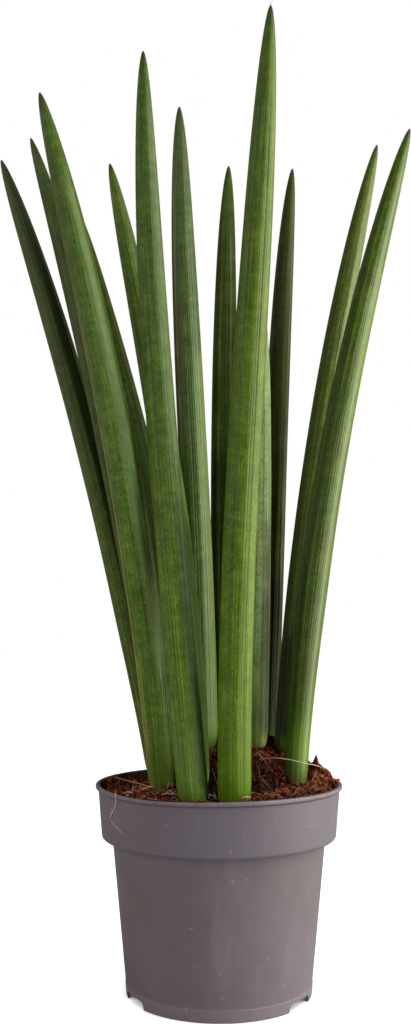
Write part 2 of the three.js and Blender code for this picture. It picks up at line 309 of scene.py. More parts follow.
placed_mark = mark_effect()
scattered_specks = speck_effect()


def specks(where, cells, size, share):
    return placed(scattered_specks, {
        "Where": where, "Cells": cells, "Size": size, "Share": share})["Mask"]


def pressed(tree, shader, height, depth, strength):
    """Gives a surface a fine relief."""
    bump = node("Bump", {"Height": height, "Distance": depth, "Strength": strength})
    tree.links.new(bump.outputs[0], shader.inputs["Normal"])


def material(name):
    """A new material: its tree, its shader and the place on the object."""
    made = bpy.data.materials.new(name)
    made.use_nodes = True
    shader = made.node_tree.nodes["Principled BSDF"]
    where = made.node_tree.nodes.new("ShaderNodeTexCoord").outputs["Object"]
    return made, made.node_tree, shader, where


# Scuffs and flecks on the front of the pot: place in x and height, size across and up, all in
# millimetres.
POT_SCUFFS = [
    (48, 98, 2.6, 0.5), (6, 89, 0.7, 1.0), (7, 72, 0.6, 0.9), (14, 73, 0.7, 0.6),
    (-14, 48, 1.0, 0.7), (-12, 28, 0.8, 0.6), (2, 13, 1.0, 0.5), (-17, 6, 0.6, 1.8),
    (33, 62, 0.6, 0.7), (-37, 70, 0.9, 0.5), (25, 31, 0.6, 0.6), (-27, 101, 1.1, 0.4),
]


def pot_plastic():
    made, tree, shader, where = material("matt taupe polypropylene")
    height = node("SeparateXYZ", {0: where}).outputs[2]
    tone, grain = cloudy(where, 22, 4, 0.6), cloudy(where, 900, 3)
    colour = blended(graded(tone, 0.35, 0.65), "6a6163", "706770")
    colour = layered(
        colour, (graded(grain, 0.45, 0.75), 0.2, "7f757a"),
        (graded(height, STEP_HEIGHT + 0.0001, STEP_HEIGHT + 0.0031), 0.5, "6b6570"))
    # The lip is rubbed paler, with a painted shadow line under its bead, and the foot band is
    # paler too.
    rubbed = graded(swayed(height, tone, 0.0018), LIP_HEIGHT - 0.0034, LIP_HEIGHT - 0.0004)
    painted_lip_shadow = times(graded(height, 0.1105, 0.1113), graded(height, 0.1121, 0.1115))
    foot = graded(height, FOOT_BAND + 0.0023, FOOT_BAND - 0.0007)
    colour = layered(
        colour, (rubbed, 0.3, "94888a"), (painted_lip_shadow, 0.5, "4a4046"), (foot, 0.25, "9c9095"))
    # Dust lies in a thin film that the hands have wiped in streaks, with specks and scuffs.
    film = graded(cloudy(vectors("MULTIPLY", where, (60, 60, 14)), 1, 4, 0.65), 0.5, 0.78)
    pale_specks = specks(where, 150, 0.09, 0.42)
    marks = 0.0
    for across, up, wide, tall in POT_SCUFFS:
        mask = placed(placed_mark, {
            "Where": where, "Centre": (across / 1000, -0.058, up / 1000),
            "Size": (wide / 1000, 0.02, tall / 1000), "Ragged": 0.8})["Mask"]
        marks = maths("MAXIMUM", marks, mask)
    colour = layered(
        colour, (film, 0.2, "a39894"), (pale_specks, 0.42, "b8b0b0"),
        (specks(where, 95, 0.06, 0.16), 0.7, "3a2a26"), (marks, 0.4, "ada1a2"))
    # Soil dust clings below the lip. Inside it, the wall above the soil is painted near black as
    # painted shade.
    dust = graded(cloudy(where, 260, 4, 0.7), 0.52, 0.7)
    splashed = times(graded(height, LIP_HEIGHT - 0.006, LIP_HEIGHT + 0.0005), dust)
    reach = vectors("LENGTH", vectors("MULTIPLY", where, (1, 1, 0)))
    collar = maths("MULTIPLY_ADD", maths("SUBTRACT", height, STEP_HEIGHT), COLLAR_FLARE,
                   COLLAR_RADIUS)
    # Painted shade on the inside of the wall above the soil.
    inside = times(graded(maths("SUBTRACT", reach, collar), -0.0005, -0.0009),
                   graded(height, 0.1, 0.102))
    colour = layered(colour, (splashed, 0.55, "5a3a2a"), (inside, 0.85, "1d1513"))
    tree.links.new(colour, shader.inputs["Base Color"])
    rough = maths("ADD", graded(grain, 0.3, 0.7, 0.46, 0.56),
                  times(maths("MAXIMUM", film, marks), 0.16))
    tree.links.new(rough, shader.inputs["Roughness"])
    shader.inputs["Specular IOR Level"].default_value = 0.42
    raised = maths("ADD", times(grain, 0.5), times(maths("ADD", marks, pale_specks), 0.6))
    pressed(tree, shader, raised, 0.00004, 0.8)
    return made


def warped(shell):
    """The lip has sprung a little out of round, and sags at the front left."""
    for corner in shell.verts:
        bearing = math.atan2(corner.co.y, corner.co.x)
        upper_half = 2 * max(0, corner.co.z / LIP_HEIGHT - 0.5)
        sprung = LIP_SPRUNG * math.sin(3 * bearing + 0.7) * upper_half
        corner.co.xy *= 1 - abs(sprung) / LIP_RADIUS
        away = math.remainder(bearing - math.radians(LIP_SAG_BEARING), math.tau)
        upper_quarter = 4 * max(0, corner.co.z / LIP_HEIGHT - 0.75)
        corner.co.z -= LIP_SAG * math.exp(-(away / 0.5) ** 2) * upper_quarter
    return shell


pot = piece("pot_shell", warped(turned(POT_OUTLINE, POT_STEPS)), pot_plastic())
cutter = piece("pot_cutter", pot_cutters())
cut = pot.modifiers.new("cut", "BOOLEAN")
cut.object, cut.operation, cut.solver = cutter, "DIFFERENCE", "EXACT"
ready = pot.evaluated_get(bpy.context.evaluated_depsgraph_get())
shaped = bpy.data.meshes.new_from_object(ready)
pot.modifiers.clear()
pot.data = shaped
bpy.data.objects.remove(cutter)
pot.data.shade_smooth()
pot.data.set_sharp_from_angle(angle=math.radians(40))
weighted = pot.modifiers.new("weighted normals", "WEIGHTED_NORMAL")
weighted.keep_sharp = True
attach(pot, "root")
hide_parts("nursery_pot")

# ---- Potting soil -----------------------------------------------------------
# Moist coir and peat, filled to just under the lip and heaped behind the middle of the pot. The
# bed is one body of dark red-brown crumbs, paler here and there, and darker as painted shade in
# its low places and on the low ground between the leaves.

# Heaps, then what raking left on them, then where the tint is paler, and where it is darkened as
# painted shade on the low ground between the leaves: the place, the radius of the flat crown and
# of the skirt, and the height or the change of tint, in metres.
SOIL_HEAPS = [
    (0.011, 0.028, 0.022, 0.052, 0.0195), (0.058, 0.014, 0.003, 0.018, 0.008),
    (0.046, -0.008, 0.006, 0.020, 0.002), (-0.006, -0.044, 0.012, 0.030, -0.0025),
]
SOIL_RAKED = [
    (0.0555, 0.003, 0.001, 0.0105, 0.0075), (-0.062, 0.008, 0.002, 0.009, 0.004),
    (0.035, 0.008, 0.004, 0.015, -0.012), (-0.045, -0.03, 0.002, 0.012, 0.0015),
    (-0.003, -0.018, 0.004, 0.014, -0.011), (-0.0262, -0.0185, 0.001, 0.006, 0.0045),
    (0.034, 0.036, 0.002, 0.012, 0.006),
]
SOIL_PALE_AND_PAINTED_SHADE = [
    (0.062, -0.004, 0.004, 0.02, 0.24), (-0.05, -0.01, 0.008, 0.03, 0.16),
    # The last two darken the soil as painted shade, beside the mound and between the front
    # leaves.
    (0.024, 0, 0.006, 0.022, -0.22), (-0.003, -0.024, 0.018, 0.026, -0.6),
]
SOIL_GAP = 0.00035  # between the soil and the pot's wall and floor
SOIL_INSET = POT_WALL + SOIL_GAP
SOIL_LEVEL = 0.1105
SOIL_RIM = collar_radius(0.1065) - SOIL_INSET
BED_STEPS = 288
BED_RINGS = 96
LUMP_SIZE = 0.009
LUMP_HEIGHT = 0.0018
CRUMBS_PER_METRE = 470
GRAINS_PER_METRE = 900


def eased(value, start, end):
    share = min(1, max(0, (value - start) / (end - start)))
    return share * share * (3 - 2 * share)


def heaped(x, y, heaps=SOIL_HEAPS, level=SOIL_LEVEL):
    """Level ground plus heaps with a flat crown and a soft skirt."""
    return level + sum(tall * (1 - eased(math.hypot(x - cx, y - cy), crown, skirt))
                       for cx, cy, crown, skirt, tall in heaps)


def drawn(column, row):
    """A number from 0 to 1 that looks random and is the same each time for a column and a row."""
    value = math.sin(column * 127.1 + row * 311.7) * 43758.5453
    return value - math.floor(value)


def lumps(x, y, size):
    """Soft rises and dips from -1 to 1, about one to a square of this size."""
    column, row = math.floor(x / size), math.floor(y / size)
    across, along = eased(x / size - column, 0, 1), eased(y / size - row, 0, 1)
    rows = [(drawn(column, row + r), drawn(column + 1, row + r)) for r in (0, 1)]
    near, far = (left + across * (right - left) for left, right in rows)
    return 2 * (near + along * (far - near)) - 1


def soil_top(x, y):
    """The bed's surface: heaps, lumps and, on the lumps, crumbs and grains."""
    broad = 0.7 * lumps(x, y, LUMP_SIZE) + 0.3 * lumps(x + 0.05, y - 0.05, LUMP_SIZE / 2)
    place = Vector((x, y, 0))
    near, next_near = noise.voronoi(place * CRUMBS_PER_METRE)[0][:2]
    crumbs = 0.0013 * (0.45 - near) + 0.0005 * min(0.5, next_near - near)
    grains = 0.0004 * noise.noise(place * GRAINS_PER_METRE)
    return heaped(x, y) + heaped(x, y, SOIL_RAKED, 0) + LUMP_HEIGHT * broad + crumbs + grains


def soil_shape():
    """A plug that fills the pot, with the heaped bed on top. Low places carry a darker tint, as
    painted shade.
    """
    outline = [(0, FLOOR_TOP + SOIL_GAP, 0),
               (body_radius(FLOOR_TOP) - SOIL_INSET, FLOOR_TOP + SOIL_GAP, 0),
               (body_radius(STEP_INSIDE) - SOIL_INSET, STEP_INSIDE + SOIL_GAP, 0),
               (collar_radius(STEP_INSIDE) - SOIL_INSET, STEP_INSIDE + SOIL_GAP, 0)]
    outline += [(SOIL_RIM * (1 - ring / BED_RINGS), SOIL_LEVEL, 0)
                for ring in range(BED_RINGS + 1)]
    bed = turned(outline, BED_STEPS)
    tint_layer = bed.verts.layers.float.new("tint")
    for corner in bed.verts:
        if abs(corner.co.z - SOIL_LEVEL) < TINY:
            x, y, _ = corner.co
            corner.co.z = soil_top(x, y)
            # Painted shade: the lower a point lies among the lumps and crumbs, the darker its
            # tint.
            proud = corner.co.z - heaped(x, y) - heaped(x, y, SOIL_RAKED, 0)
            tint = 0.5 + proud / 0.003 + heaped(x, y, SOIL_PALE_AND_PAINTED_SHADE, 0)
            corner[tint_layer] = min(1, max(0, tint))
    return bed


def carried(tree, name, output="Fac"):
    """What the mesh carries at each of its points under this name."""
    return node("Attribute", {}, tree, attribute_name=name).outputs[output]


def ramped(value, first, last, between):
    """Colours for a value from 0 to 1: the first, the last, and those at places between them."""
    made = node("ValToRGB", {"Fac": value})
    stops = made.color_ramp.elements
    stops[0].color, stops[1].color = paint(first), paint(last)
    for place, code in between:
        stops.new(place).color = paint(code)
    return made.outputs["Color"]


def coir(name, loose):
    """Coir and peat. Loose pieces keep their own tint, and the bed's is clouded over."""
    made, tree, shader, where = material(name)
    tone = carried(tree, "tint")
    if not loose:
        clouds = graded(cloudy(where, 420, 6, 0.7), 0.3, 0.72)
        tone = times(clouds, maths("MULTIPLY_ADD", tone, 1.3, 0.1))
    middle = [(0.3, "39130c"), (0.55, "6d2c1b"), (0.8, "a8552f")]
    colour = ramped(tone, "140704", "dfb27f", middle)
    fine = cloudy(where, 2600, 4, 0.7)
    flakes = specks(where, 420, 0.16, 0.06 if loose else 0.12)
    # Painted shade: the dips of the fine relief are darkened.
    painted_pit_shade = graded(fine, 0.35, 0.7, 0.55, 0)
    colour = layered(colour, (painted_pit_shade, 1, "120805"), (flakes, 0.6, "a8683c"))
    tree.links.new(colour, shader.inputs["Base Color"])
    shader.inputs["Roughness"].default_value = 0.92
    shader.inputs["Specular IOR Level"].default_value = 0.1
    pressed(tree, shader, fine, 0.0004, 0.9)
    return made


soil = piece("soil_bed", soil_shape(), coir("packed coir", False))
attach(soil, "root")
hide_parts("potting_soil")

# ---- Leaves -----------------------------------------------------------------
# Thirteen leaves, each a firm round spear that grew from its own root: a dozen low ribs run up
# it, with three finer furrows to each, and one channel with a horny margin on both sides. The
# skin is waxy and cross-banded, yellower at the foot, and ends in a small hard brown point.

LEAF_SIDES = 144
LEAF_BURIED = 0.04
HEEL_HEIGHT = 0.014  # over which a leaf rounds out from its heel
FILLS_OUT = 0.3  # share of its length over which it reaches its full thickness
RIBS = 12
RIB_DEPTH = 0.0002
FURROW_DEPTH = 0.00008
CHANNEL_DEPTH = 0.0014
CHANNEL_HALF_WIDTH = 0.3  # radians
MARGIN_HEIGHT = 0.00022
MARGIN_PLACE = 0.5  # radians from the middle of the channel
MARGIN_HALF_WIDTH = 0.07  # radians

LEAF_COLOURS = ["Field", "Dark", "Pale", "Heel"]
LEAF_STRENGTHS = ["Bands", "Painted furrow shade", "Cross bands", "Channel", "Margin before", "Margin after"]

# Foot and tip of the middle line, its bend and S-bend, thickness low down and at the fullest,
# all in millimetres; share of the thickness at the heel, bearing of the channel, shine, share by
# which it darkens from foot to tip; then the values for LEAF_COLOURS and for LEAF_STRENGTHS, and
# last its own stripes, among them painted highlights on lit flanks and painted shadows and shade
# where neighbours shade it: bearing, half width in degrees, colour, strength, and the shares of
# the length between which they lie.
LEAVES = [
    ((-36.4, 33), (-127, -20, 474), (9.2, 0), (12.8, 16.8), 0.6, 300, 0.28, 0.9,
     "435a12", "283a06", "667b31", "547012", 0.7, 0.6, 0.35, 0.8, 0, 0.5,
     [(262, 5, "11160b", 0.5, 0, 1), (292, 8, "11160b", 0.5, 0, 1)]),
    ((-27.5, 12), (-109, -25, 485), (6.4, -1.2), (15, 15.8), 0.6, 20, 0.2, 0.1,
     "43571d", "28380c", "66783d", "546d1d", 0.6, 0.6, 0.35, 0.2, 0.5, 0,
     # The dark band at 325 degrees is painted shade on the lit right flank.
     [(255, 4, "1f2a10", 0.3, 0, 1), (325, 34, "1c260e", 0.45, -0.1, 1)]),
    ((-31, -8), (-96.5, -70, 490), (8.9, 0.4), (17.4, 18.5), 0.6, 176, 0.16, 0.6,
     "547124", "344a10", "7b9745", "678924", 0.3, 0.4, 0.5, 0.2, 0.3, 0.3,
     # At 304 degrees a painted highlight; at 338 degrees a painted shadow low down.
     [(304, 24, "9fb27a", 0.26, 0.15, 0.9), (338, 30, "0f1803", 0.6, -0.1, 0.4),
      (222, 2.2, "a8924c", 0.85, -0.1, 0.2), (270, 90, "3a3a14", 0.3, -0.1, 0.12),
      (204.6, 3, "a8924c", 0.75, -0.1, 0.5)]),
    ((-14.5, 40), (-94, 75, 479), (6.6, 1.6), (15.4, 16.6), 0.6, 290, 0.1, 0,
     "3b4d16", "233108", "5c6c35", "4b6216", 0.4, 0.5, 0.3, 0.2, 0, 0.1,
     []),
    ((-12.5, -12), (-68, 25, 491), (9, 0.7), (15.4, 16.4), 0.6, 330, 0.12, 0.1,
     "5a7623", "384e10", "829d44", "6d8f23", 0.5, 0.5, 0.4, 0.5, 0, 0,
     # At 342 degrees a painted shadow low on the right flank; at 318 degrees a painted highlight.
     [(268, 3, "141c08", 0.5, 0, 1), (342, 44, "16240a", 0.7, -0.1, 0.42),
      (318, 34, "a7b48e", 0.16, 0.42, 1)]),
    ((-13.5, -36), (-42, -50, 524), (-3.7, 0.7), (17.2, 17.2), 0.88, 80, 0.17, 0.5,
     "526f1d", "32490c", "78943d", "64871d", 0.3, 0.6, 0.8, 0.2, 0, 0,
     # At 334 degrees a painted shadow low down; at 318 degrees a painted highlight up high.
     [(250, 4, "26330f", 0.3, 0, 1), (334, 44, "141f05", 0.6, -0.1, 0.42),
      (318, 36, "a7b48e", 0.16, 0.42, 1), (262, 60, "93a878", 0.1, -0.1, 0.12)]),
    ((-9, 16), (-24, 15, 523), (0.1, 0.9), (18, 18), 0.45, 195, 0.27, 0.3,
     "496122", "2c3f0f", "6d8443", "5b7822", 0.35, 0.55, 0.6, 0.3, 0.2, 0.8,
     [(240, 11, "66724e", 0.3, 0, 1), (226, 4, "1c250f", 0.4, 0, 1),
      # The pale band at 322 degrees is a painted highlight on the lower right flank.
      (322, 32, "9db56a", 0.22, -0.1, 0.62)]),
    ((5, 36), (7, 60, 504), (-2.4, 0), (15.8, 16.8), 0.6, 270, 0.02, 0,
     "465a25", "2a3a11", "6a7b46", "577025", 0.4, 0.7, 0.4, 0.3, 0.2, 0.2,
     # A painted shadow down the right flank, and painted shade over the lower front half.
     [(324, 34, "10160a", 0.72, -0.1, 0.5), (324, 34, "10160a", 0.4, 0.5, 1),
      (270, 90, "0c1403", 0.5, -0.1, 0.5)]),
    ((8.5, -38), (28, -85, 530), (-3.2, -1), (18.2, 18.2), 0.9, 100, 0.22, 0.45,
     "4d6b0b", "2f4603", "738f2b", "5f820b", 0.35, 0.6, 0.6, 0.2, 0, 0,
     [(243, 3, "1d2809", 0.4, 0, 1), (303, 2.2, "1d2809", 0.6, 0, 1),
      # The wide pale band at 312 degrees is a painted highlight on the lit side.
      (311, 2.0, "1d2809", 0.4, 0, 1), (312, 40, "a3b254", 0.13, -0.1, 1)]),
    ((29, 45), (51, 88, 514), (-2.6, 0.6), (15, 16), 0.6, 345, 0.13, 0,
     "3d4c13", "243106", "5f6b32", "4e6213", 0.6, 0.6, 0.3, 0.2, 0.3, 0,
     # The dark band at 270 degrees is painted shade low on the front; the pale one a painted
     # highlight.
     [(245, 30, "1b2210", 0.35, 0, 1), (270, 90, "0c1403", 0.8, -0.1, 0.3),
      (320, 36, "8c8c66", 0.18, 0.35, 1)]),
    ((40, 24), (108, 80, 527), (-8.6, -0.1), (15.4, 16.4), 0.6, 200, 0.22, 0,
     "516718", "314309", "778a37", "637e18", 0.5, 0.7, 0.4, 0.5, 0, 0,
     # The dark band at 270 degrees is painted shade at the foot; the pale one a painted
     # highlight.
     [(228, 9, "1f290f", 0.35, 0, 1), (270, 90, "0c1403", 0.8, -0.1, 0.2),
      (318, 34, "a8b47c", 0.18, 0.55, 1)]),
    ((43.5, -3), (124, 45, 522), (-11.8, -0.3), (13.2, 17.6), 0.9, 150, 0.27, -0.2,
     "445c0b", "293c03", "687e2b", "56730b", 0.45, 0.6, 0.5, 0.3, 0, 0,
     [(230, 11, "141d08", 0.28, -0.1, 1), (286, 70, "6f9422", 0.55, -0.1, 0.1),
      # The pale band at 303 degrees is a painted highlight.
      (303, 18, "b0bd88", 0.2, -0.1, 1), (344, 20, "6f8c1c", 0.35, -0.1, 1)]),
    ((22.5, 21), (28, 40, 404), (0.3, -0.1), (13.8, 14.4), 0.6, 350, 0.24, 0,
     "8fa760", "5b7035", "c7d999", "a9c660", 0.4, 0.5, 0.4, 0.2, 0.3, 0,
     # A painted shadow twice on the right flank, and painted shade at the foot.
     [(326, 44, "1a1c0a", 0.5, -0.1, 0.36), (326, 44, "1a1c0a", 0.5, -0.1, 0.52),
      (270, 90, "1a240c", 0.4, -0.1, 0.12)]),
]


def leaf_line(foot, tip, curve, t):
    """A point on a leaf's middle line: t is 0 at the soil and 1 at the tip."""
    x, y = foot[0] / 1000, foot[1] / 1000
    start = Vector((x, y, heaped(x, y)))
    point = start + (Vector(tip) / 1000 - start) * t
    bend, s_bend = curve
    point.x += (bend * 4 * t * (1 - t) + s_bend * 10.4 * t * (1 - t) * (1 - 2 * t)) / 1000
    return point


def leaf_stations(length):
    """Shares of the length at which a leaf has a ring, closer together at heel and tip."""
    heel = [-LEAF_BURIED, -0.02, -0.006, -0.002, 0, 0.0015, 0.003, 0.005, 0.0075, 0.0105,
            HEEL_HEIGHT]
    start = 1.25 * HEEL_HEIGHT / length
    blade = [start + (0.93 - start) * i / 74 for i in range(75)]
    point = [1 - 0.07 * (1 - i / 22) ** 1.6 for i in range(1, 22)]
    return [height / length for height in heel] + blade + point + [0.9998]


def leaf_ring(number, line, thick, heel, length, t):
    """One ring of a leaf: its middle, the ways right and back, its radius and the share t."""
    up = min(1, max(0, t))
    along = (leaf_line(*line, t + 0.01) - leaf_line(*line, t - 0.01)).normalized()
    right = Vector((0, 1, 0)).cross(along).normalized()
    full = (thick[0] + (thick[1] - thick[0]) * eased(up, 0, FILLS_OUT)) / 2000
    climb = min(1, up * length / HEEL_HEIGHT)
    rounded = heel + (1 - heel) * math.sqrt(1 - (1 - climb) ** 2)
    pointed = (1 - up ** 4.5) ** 0.55
    swell = 1 + 0.006 * noise.noise(Vector((t * length * 24, number * 7.3, 0)))
    return leaf_line(*line, t), right, along.cross(right), full * pointed * rounded * swell, t


def leaf_shape(number, foot, tip, curve, thick, heel, channel):
    """Spins a straight stick of rings, then carries each ring to its place on the leaf."""
    line = (foot, tip, curve)
    length = (leaf_line(*line, 1) - leaf_line(*line, 0)).length
    rings = [leaf_ring(number, line, thick, heel, length, t) for t in leaf_stations(length)]
    last = len(rings) - 1
    profile = [(0, 0)] + [(1, i) for i in range(last + 1)] + [(0, last)]
    stick = spun(profile, LEAF_SIDES, near=10 * TINY)
    skin = stick.verts.layers.float_vector.new("skin")
    furrow = stick.verts.layers.float.new("furrow")
    for corner in stick.verts:
        centre, right, back, radius, t = rings[round(corner.co.z)]
        if corner.co.xy.length < 0.5:
            corner[skin] = (1, 0, t * length)
            corner.co = centre
            continue
        bearing = math.atan2(corner.co.y, corner.co.x)
        offset = math.remainder(bearing - math.radians(channel), math.tau)
        wobble = noise.noise(Vector((
            2.2 * math.cos(offset), 2.2 * math.sin(offset) + number * 5, t * length * 9)))
        corner[furrow] = math.sin(1.5 * RIBS * offset + 1.6 * wobble)
        tapers = 1 - min(1, max(0, t))
        groove = RIB_DEPTH * 0.5 * (1 - math.cos(RIBS * offset))
        groove = (groove + FURROW_DEPTH * (1 - abs(corner[furrow]))) * min(1, tapers / 0.15)
        gutter = CHANNEL_DEPTH * tapers * math.exp(-(offset / CHANNEL_HALF_WIDTH) ** 2)
        away = (abs(offset) - MARGIN_PLACE) / MARGIN_HALF_WIDTH
        margin = MARGIN_HEIGHT * tapers * math.exp(-away ** 2)
        reach = radius * (1 - (groove + gutter - margin) / (thick[1] / 2000))
        corner[skin] = (math.cos(offset), math.sin(offset), t * length)
        corner.co = centre + reach * math.cos(bearing) * right + reach * math.sin(bearing) * back
    bmesh.ops.recalc_face_normals(stick, faces=stick.faces[:])
    return stick, length


def stripe_and_painted_light_effect():
    """One soft-edged stripe up a leaf, at a bearing round it. It lays the leaves' own marks, and
    also their painted highlights and painted shadows.
    """
    tree, took, gave = effect(
        "Placed stripe and painted light", {"Vector": ["Skin"], "Float": ["Bearing", "Half width", "Ragged"]})
    east, north = maths("COSINE", took["Bearing"]), maths("SINE", took["Bearing"])
    towards = node("CombineXYZ", {0: east, 1: north}).outputs[0]
    away = maths("ARCCOSINE", vectors("DOT_PRODUCT", took["Skin"], towards))
    drift = cloudy(vectors("MULTIPLY", took["Skin"], (6, 6, 22)), 1, 3)
    share = maths("DIVIDE", away, took["Half width"])
    reach = swayed(share, drift, times(took["Ragged"], 2))
    tree.links.new(graded(reach, 1.35, 0.5), gave["Mask"])
    return tree


def leaf_effect():
    """The skin of a leaf, from where a point lies round it and how far up."""
    takes = {"Vector": ["Skin"], "Color": LEAF_COLOURS,
             "Float": ["Furrow", "Length", "Seed", "Darkens"] + LEAF_STRENGTHS}
    gives = {"Color": ["Colour"], "Float": ["Roughness", "Height", "Blade", "Share"]}
    tree, took, gave = effect("Leaf skin", takes, gives)
    x, y, high = node("SeparateXYZ", {0: took["Skin"]}).outputs
    angle = maths("ARCTAN2", y, x)
    share = maths("DIVIDE", high, took["Length"])

    def streaks(across, along, shift, detail=3.0, rough=0.55):
        """Clouds drawn out up the leaf: features across and along it, per radius and metre."""
        start = maths("ADD", took["Seed"], shift)
        start = node("CombineXYZ", {0: start, 1: shift, 2: took["Seed"]}).outputs[0]
        moved = vectors("MULTIPLY_ADD", took["Skin"], (across, across, along), start)
        return cloudy(moved, 1, detail, rough)

    broad = streaks(1.7, 6, 0.0, 2)
    fine = streaks(9, 14, 3.7, 4)
    hair = streaks(30, 30, 8.1, 2)
    grain = streaks(8, 620, 17.3, 3, 0.65)

    def rungs(along, shift, jag):
        """Bands that run across the leaf, with edges jagged by the streaks."""
        height = maths("MULTIPLY_ADD", fine, jag, times(high, along))
        start = maths("MULTIPLY_ADD", x, 0.9, maths("ADD", took["Seed"], shift))
        moved = node("CombineXYZ", {0: start, 1: times(y, 0.9), 2: height}).outputs[0]
        return cloudy(moved, 1, 2, 0.6)

    def mottled(cloud, paler, darker, strengths, share_of=1):
        """Two layers: pale where a cloud is high, and dark where it is low."""
        spans = zip((paler, darker), strengths, ("Pale", "Dark"))
        return [(times(graded(cloud, *span), share_of), strength, took[tone])
                for span, strength, tone in spans]

    wide, narrow = rungs(70, 0, 1.2), rungs(260, 31, 1.6)
    banding = maths("MULTIPLY_ADD", took["Cross bands"], 0.6, 0.4)
    # Three fine furrows to a rib, each darkened as painted shade along a line that comes and
    # goes, and pale threads between.
    line = graded(maths("ABSOLUTE", took["Furrow"]), 0.62, 0.1)
    fades = times(graded(streaks(7, 5, 21.0, 1), 0.42, 0.64, 0.08, 1), graded(share, 0.985, 0.86))
    groove = times(line, fades)
    thread = times(graded(hair, 0.58, 0.7), fades)
    # The channel is darker, and its two margins are thin dry yellow-brown edges.
    below_tip = graded(share, 0.99, 0.8)
    inside = times(graded(maths("ABSOLUTE", angle), 0.46, 0.24), below_tip)
    margin = 0.0
    for side, strength in ((-MARGIN_PLACE, "Margin before"), (MARGIN_PLACE, "Margin after")):
        away = maths("ABSOLUTE", maths("SUBTRACT", angle, side))
        margin = maths("MULTIPLY_ADD", graded(away, 0.12, 0.05), took[strength], margin)
    margin = times(margin, below_tip)
    edge = blended(graded(streaks(2, 40, 5.5), 0.35, 0.55), "8a7d40", "b9b462")
    colour = layered(
        took["Field"], (graded(broad, 0.42, 0.62), took["Bands"], took["Dark"]),
        *mottled(wide, (0.5, 0.68), (0.49, 0.34), (0.4, 0.5), banding),
        *mottled(narrow, (0.52, 0.64), (0.48, 0.36), (0.36, 0.45), banding),
        *mottled(fine, (0.52, 0.68), (0.48, 0.32), (0.5, 0.5)),
        *mottled(grain, (0.53, 0.66), (0.47, 0.35), (0.4, 0.55)),
        (groove, times(took["Painted furrow shade"], 1.3), took["Dark"]), (thread, 0.4, took["Pale"]),
        (inside, took["Channel"], took["Dark"]), (margin, 1, edge))
    fall = maths("MULTIPLY_ADD", took["Darkens"], maths("SUBTRACT", 0.5, share), 1)
    colour = node("VectorMath", {0: colour, "Scale": fall}, operation="SCALE").outputs[0]
    # Yellow and then earthy at the foot, brown and dry at the point.
    earthy = graded(swayed(high, hair, 0.012), 0.006, 0.001)
    ripe = swayed(share, fine, 0.012)
    dry = graded(ripe, 0.9885, 0.994)
    colour = layered(
        colour, (graded(swayed(high, fine, 0.03), 0.06, 0.0), 0.45, took["Heel"]),
        (earthy, 0.4, "6a4a30"), (graded(ripe, 0.965, 0.988), 0.6, "3f3c2a"),
        (dry, 1, blended(hair, "2b2320", "665648")))
    pale = times(graded(wide, 0.5, 0.68), banding)
    rough = maths("ADD", graded(fine, 0.3, 0.7, 0.28, 0.44), times(dry, 0.3))
    lift = maths("MULTIPLY_ADD", grain, 0.5, times(fine, 0.6))
    lift = maths("MULTIPLY_ADD", margin, 0.6, maths("SUBTRACT", lift, groove))
    for label, value in {
            "Colour": colour, "Roughness": maths("MULTIPLY_ADD", pale, 0.06, rough),
            "Height": maths("MULTIPLY_ADD", hair, 0.3, lift), "Share": swayed(share, fine, 0.12),
            "Blade": times(graded(share, 0.985, 0.9), graded(high, 0.002, 0.014))}.items():
        tree.links.new(value, gave[label])
    return tree


placed_stripe_and_painted_light = stripe_and_painted_light_effect()
leaf_skin = leaf_effect()


def leaf_finish(name, seed, length, channel, shine, darkens, *looks):
    made, tree, shader, where = material(name)
    skin = carried(tree, "skin", "Vector")
    *values, own_stripes_and_painted_light = looks
    look = placed(leaf_skin, {
        "Skin": skin, "Furrow": carried(tree, "furrow"), "Length": length, "Seed": seed,
        "Darkens": darkens, **dict(zip(LEAF_COLOURS + LEAF_STRENGTHS, map(paint, values)))})
    colour = look["Colour"]
    # Own marks, painted highlights and painted shadows, each laid over the skin in its band.
    for bearing, half, tone, strength, low, high in own_stripes_and_painted_light:
        mask = placed(placed_stripe_and_painted_light, {
            "Skin": skin, "Bearing": math.radians(bearing - channel),
            "Half width": math.radians(half), "Ragged": 0.5})["Mask"]
        above = graded(look["Share"], low, low + 0.05)
        between = times(above, graded(look["Share"], high, high - 0.05))
        held = times(mask, times(look["Blade"], between))
        colour = layered(colour, (held, strength, tone))
    colour = layered(colour, (specks(where, 85, 0.05, 0.12), 0.5, "b9b39a"))
    tree.links.new(colour, shader.inputs["Base Color"])
    tree.links.new(look["Roughness"], shader.inputs["Roughness"])
    shader.inputs["Specular IOR Level"].default_value = shine
    pressed(tree, shader, look["Height"], 0.0002, 0.8)
    return made


for number, (foot, tip, curve, thick, heel, channel, *looks) in enumerate(LEAVES, 1):
    stick, length = leaf_shape(number, foot, tip, curve, thick, heel, channel)
    finish = leaf_finish(f"waxy leaf skin {number}", 11.3 * number, length, channel, *looks)
    leaf = piece(f"leaf_skin_{number:02d}", stick, finish)
    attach(leaf, "root")
    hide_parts(f"leaf_{number:02d}")

# ---- Loose coir -------------------------------------------------------------
# What was thrown on last and stayed on top: crumbs of coir and peat, flat chips of bark, and
# single coir fibres, springy and straw-coloured, that lie over the bed, the feet and the lip.

draws = random.Random(41)


